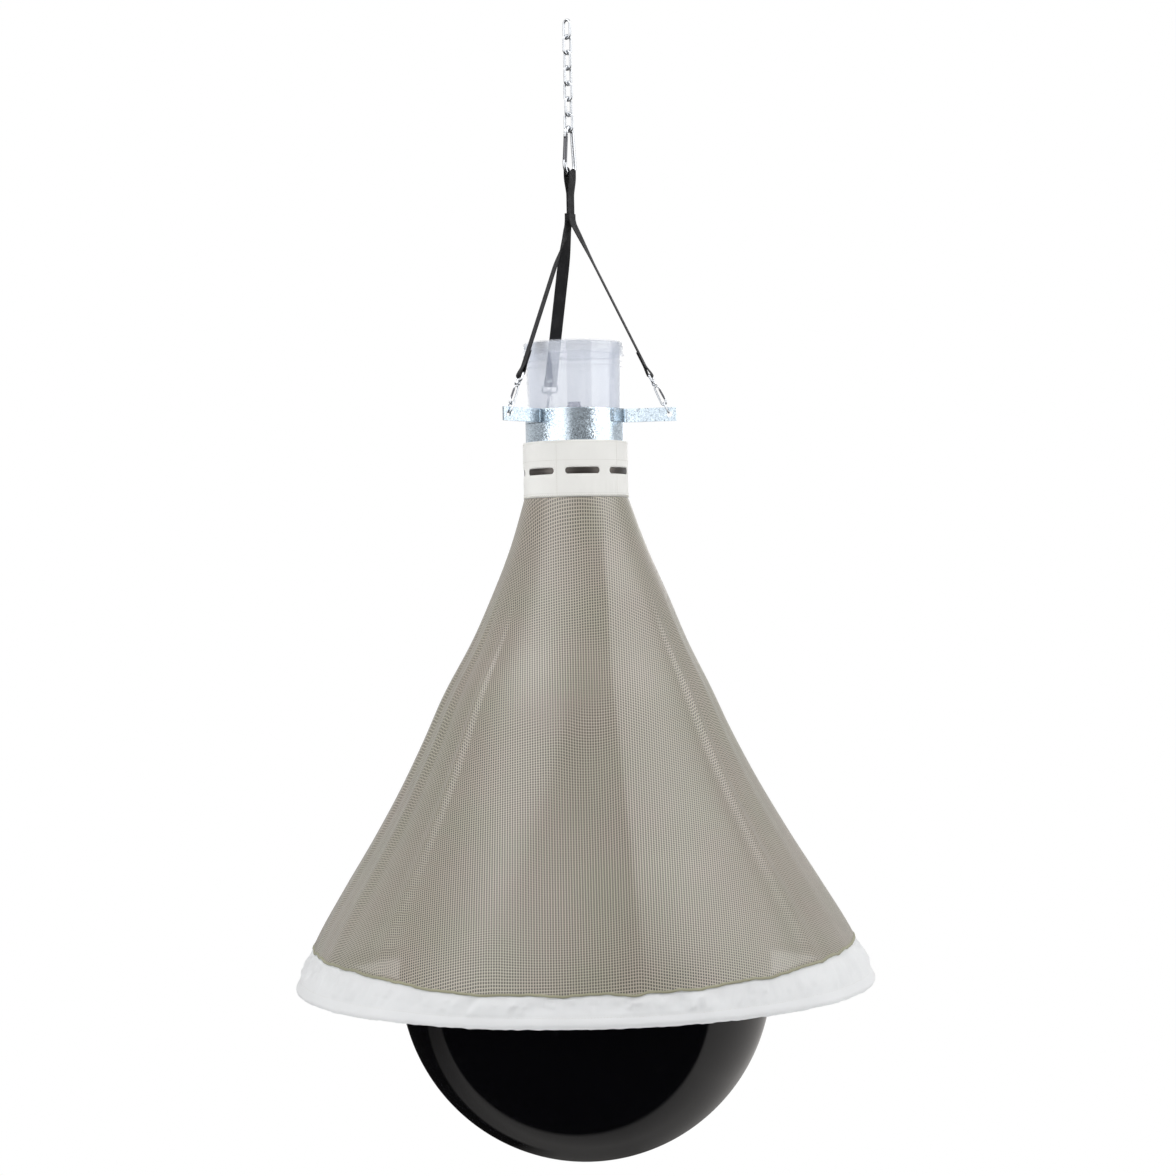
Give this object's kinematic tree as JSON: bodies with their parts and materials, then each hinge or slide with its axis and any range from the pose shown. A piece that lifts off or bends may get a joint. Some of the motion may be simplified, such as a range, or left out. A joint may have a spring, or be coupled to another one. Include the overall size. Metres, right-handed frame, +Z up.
{
  "type": "horsefly trap",
  "caption": "Hanging horsefly trap: a glossy black ball under an open mesh cone with a clear catch jar on top, hung by a strap harness, a carabiner and a short chain.",
  "frame": {"origin": "bearing point inside the top of the top chain link, on the line that the trap hangs on", "axes": "+Z up along the hanging line, -Y to the front, +X to the right as seen from the front"},
  "size_m": [0.853, 0.853, 1.6875],
  "materials": {
    "zinc": "bright zinc plate",
    "galvanised": "galvanised sheet, spangled",
    "stainless": "plain stainless",
    "dark_steel": "dark, semi-gloss",
    "black_webbing": "woven polyester webbing",
    "clear_plastic": "clear, faint lavender tint",
    "funnel_plastic": "clear, smoky",
    "white_cloth": "white woven cloth, stitched",
    "taupe_mesh": "fine open net",
    "white_cord": "braided cord",
    "hoop_plastic": "plain rod",
    "black_vinyl": "glossy inflated vinyl",
    "black_rubber": "matt moulded rubber"
  },
  "bodies": {
    "link_1": {"chain_link_1": "zinc"},
    "link_2": {"chain_link_2": "zinc"},
    "link_3": {"chain_link_3": "zinc"},
    "link_4": {"chain_link_4": "zinc"},
    "link_5": {"chain_link_5": "zinc"},
    "link_6": {"chain_link_6": "zinc"},
    "link_7": {"chain_link_7": "zinc"},
    "carabiner": {"carabiner_body": "zinc", "carabiner_pin": "zinc"},
    "carabiner_gate": {"carabiner_gate": "dark_steel"},
    "trap": {"harness_loop": "black_webbing", "harness_strap_right": "black_webbing", "strap_eye_right": "zinc", "snap_body_right": "zinc", "snap_pin_right": "zinc", "arm_link_right": "zinc", "arm_right": "galvanised", "harness_strap_left": "black_webbing", "strap_eye_left": "zinc", "snap_body_left": "zinc", "snap_pin_left": "zinc", "arm_link_left": "zinc", "arm_left": "galvanised", "harness_strap_rear": "black_webbing", "strap_eye_rear": "zinc", "snap_body_rear": "zinc", "snap_pin_rear": "zinc", "arm_link_rear": "zinc", "arm_rear": "galvanised", "ring_band": "galvanised", "seat_plate": "galvanised", "collar": "white_cloth", "clamp_band": "dark_steel", "clamp_housing": "stainless", "mesh_cone": "taupe_mesh", "hem": "white_cloth", "hoop": "hoop_plastic", "hook_bolt": "zinc", "hook_nut": "zinc"},
    "snap_gate_right": {"snap_gate_right": "dark_steel"},
    "snap_gate_left": {"snap_gate_left": "dark_steel"},
    "snap_gate_rear": {"snap_gate_rear": "dark_steel"},
    "jar": {"jar": "clear_plastic", "inner_funnel": "funnel_plastic"},
    "lid": {"lid": "clear_plastic"},
    "clamp_screw": {"clamp_screw": "stainless"},
    "cord": {"ball_cord": "white_cord"},
    "ball": {"ball": "black_vinyl", "ball_lug": "black_rubber"},
    "air_plug": {"air_plug": "black_rubber"}
  },
  "joints": [
    {"name": "link_2_swing", "type": "hinge", "parent": "link_1", "child": "link_2", "pos_m": [0, 0, -0.0253], "axis": [0.7431, -0.6691, 0], "range_deg": [-20, 20]},
    {"name": "link_3_swing", "type": "hinge", "parent": "link_2", "child": "link_3", "pos_m": [0, 0, -0.0483], "axis": [0.866, 0.5, 0], "range_deg": [-20, 20]},
    {"name": "link_4_swing", "type": "hinge", "parent": "link_3", "child": "link_4", "pos_m": [0, 0, -0.0713], "axis": [0.7071, -0.7071, 0], "range_deg": [-20, 20]},
    {"name": "link_5_swing", "type": "hinge", "parent": "link_4", "child": "link_5", "pos_m": [0, 0, -0.0943], "axis": [0.7431, 0.6691, 0], "range_deg": [-20, 20]},
    {"name": "link_6_swing", "type": "hinge", "parent": "link_5", "child": "link_6", "pos_m": [0, 0, -0.1173], "axis": [0.8387, -0.5446, 0], "range_deg": [-20, 20]},
    {"name": "link_7_swing", "type": "hinge", "parent": "link_6", "child": "link_7", "pos_m": [0, 0, -0.1403], "axis": [0.6691, 0.7431, 0], "range_deg": [-20, 20]},
    {"name": "carabiner_swing", "type": "hinge", "parent": "link_7", "child": "carabiner", "pos_m": [0, 0, -0.1633], "axis": [0.9063, -0.4226, 0], "range_deg": [-20, 20]},
    {"name": "carabiner_gate_open", "type": "hinge", "parent": "carabiner", "child": "carabiner_gate", "pos_m": [-0.00479, -0.0083, -0.17146], "axis": [0.866, -0.5, 0], "range_deg": [0, 28], "stiffness_Nm_per_rad": 0.4, "springref_deg": -17.19},
    {"name": "trap_swing", "type": "hinge", "parent": "carabiner", "child": "trap", "pos_m": [0, 0, -0.22775], "axis": [0.5, 0.866, 0], "range_deg": [-6, 6]},
    {"name": "snap_gate_right_open", "type": "hinge", "parent": "trap", "child": "snap_gate_right", "pos_m": [0.12521, -0.02725, -0.55004], "axis": [0.3566, 0.931, 0.0779], "range_deg": [0, 15], "stiffness_Nm_per_rad": 0.02, "springref_deg": -17.19},
    {"name": "snap_gate_left_open", "type": "hinge", "parent": "trap", "child": "snap_gate_left", "pos_m": [-0.08615, -0.09462, -0.55011], "axis": [0.66, -0.7485, 0.0648], "range_deg": [0, 15], "stiffness_Nm_per_rad": 0.02, "springref_deg": -17.19},
    {"name": "snap_gate_rear_open", "type": "hinge", "parent": "trap", "child": "snap_gate_rear", "pos_m": [-0.03946, 0.122, -0.55], "axis": [-0.9861, -0.152, 0.0676], "range_deg": [0, 15], "stiffness_Nm_per_rad": 0.02, "springref_deg": -17.19},
    {"name": "jar_lift", "type": "slide", "parent": "trap", "child": "jar", "axis": [0, 0, 1], "range_m": [0, 0.009]},
    {"name": "lid_lift", "type": "slide", "parent": "jar", "child": "lid", "axis": [0, 0, 1], "range_m": [0, 0.012]},
    {"name": "clamp_screw_turn", "type": "hinge", "parent": "trap", "child": "clamp_screw", "pos_m": [0.0249, 0.07655, -0.6695], "axis": [-0.951, 0.3093, 0], "continuous": true},
    {"name": "cord_swing", "type": "hinge", "parent": "trap", "child": "cord", "pos_m": [0, 0, -0.6953], "axis": [0, 1, 0], "range_deg": [-5, 5]},
    {"name": "ball_swing", "type": "hinge", "parent": "cord", "child": "ball", "pos_m": [0, 0, -1.0743], "axis": [1, 0, 0], "range_deg": [-5, 5]},
    {"name": "air_plug_pull", "type": "slide", "parent": "ball", "child": "air_plug", "axis": [0, 0.309, 0.9511], "range_m": [0, 0.012]}
  ]
}
